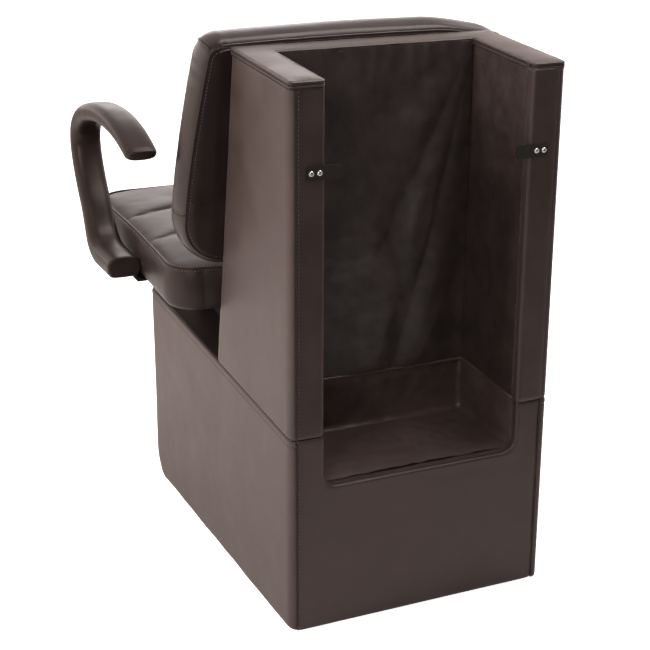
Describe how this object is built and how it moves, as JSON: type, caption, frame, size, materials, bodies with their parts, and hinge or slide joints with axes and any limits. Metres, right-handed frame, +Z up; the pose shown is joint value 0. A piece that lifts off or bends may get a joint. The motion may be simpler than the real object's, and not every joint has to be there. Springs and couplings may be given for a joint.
{
  "type": "dryer chair",
  "caption": "Salon dryer chair: padded seat, back and two curved arms on a box base, with an open lined bay behind the back where a box hair dryer stands.",
  "frame": {"origin": "on the floor, under the middle of the whole chair", "axes": "+Z up, -Y is the way the sitter faces, +X is the sitter's left"},
  "size_m": [0.672, 0.8465, 0.8974],
  "materials": {
    "brown_vinyl": "satin grained",
    "bay_lining_cloth": "matte",
    "dust_cloth": "matte",
    "arm_foam": "satin",
    "bare_steel": "rolled",
    "black_steel": "satin",
    "plated_steel": "zinc plated",
    "glide_nylon": "satin",
    "painted_board": "painted dark",
    "plywood": "raw"
  },
  "bodies": {
    "root": {"base_side_left": "plywood", "base_side_right": "plywood", "base_front_panel": "plywood", "base_toe_rail": "plywood", "base_rear_panel": "plywood", "base_deck": "plywood", "base_corner_blocks": "plywood", "base_glides": "glide_nylon", "glide_nails": "plated_steel", "shelf_cleats": "plywood", "dryer_shelf": "plywood", "recess_side_left": "plywood", "recess_side_right": "plywood", "recess_back": "plywood", "recess_lining": "bay_lining_cloth", "base_cover_left": "brown_vinyl", "base_cover_right": "brown_vinyl", "base_cover_front": "brown_vinyl", "base_cover_rear": "brown_vinyl", "base_deck_cover": "brown_vinyl", "housing_outer_board_left": "plywood", "housing_outer_board_right": "plywood", "housing_inner_board_left": "plywood", "housing_inner_board_right": "plywood", "housing_spacers_left": "plywood", "housing_spacers_right": "plywood", "bay_board": "plywood", "housing_front_board": "plywood", "housing_top_board": "plywood", "housing_battens": "plywood", "housing_cover_left": "brown_vinyl", "housing_cover_right": "brown_vinyl", "housing_rear_cover_left": "brown_vinyl", "housing_rear_cover_right": "brown_vinyl", "housing_front_cover": "brown_vinyl", "housing_top_cap": "brown_vinyl", "bay_lining": "bay_lining_cloth", "bay_side_linings": "bay_lining_cloth", "dryer_strap_left": "black_steel", "dryer_strap_right": "black_steel", "strap_screws": "plated_steel", "housing_lag_screws": "plated_steel", "back_board": "plywood", "back_cushion": "brown_vinyl", "back_lag_screws": "plated_steel", "seat_board": "plywood", "seat_cushion": "brown_vinyl", "seat_dust_cover": "dust_cloth", "riser_rail_left": "painted_board", "riser_rail_right": "painted_board", "riser_front_panel": "painted_board", "seat_bolts": "plated_steel", "arm_left": "arm_foam", "arm_right": "arm_foam", "arm_core_left": "bare_steel", "arm_core_right": "bare_steel", "arm_plate_left": "black_steel", "arm_plate_right": "black_steel", "arm_bolts": "plated_steel", "plate_screws": "plated_steel"}
  },
  "joints": []
}
